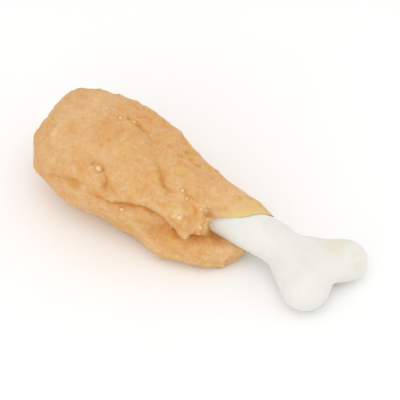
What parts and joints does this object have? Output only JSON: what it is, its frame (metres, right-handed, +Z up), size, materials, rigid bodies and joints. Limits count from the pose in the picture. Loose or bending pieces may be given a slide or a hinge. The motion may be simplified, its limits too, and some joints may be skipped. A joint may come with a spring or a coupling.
{
  "type": "drumstick-shaped meat chew",
  "caption": "Drumstick-shaped pet chew: dried meat wound round one end of a moulded white bone with a forked knuckle, lying on its side.",
  "frame": {"origin": "middle of the footprint, on the surface that the chew lies on", "axes": "+X along the chew from the blunt end of the meat to the knuckles, +Z up as it lies"},
  "size_m": [0.1132, 0.0388, 0.0315],
  "materials": {
    "meat": "dried meat, matte and fibrous, pale pinkish orange",
    "bone": "moulded bone, smooth, satin off-white"
  },
  "bodies": {
    "root": {"meat": "meat", "bone": "bone"}
  },
  "joints": []
}
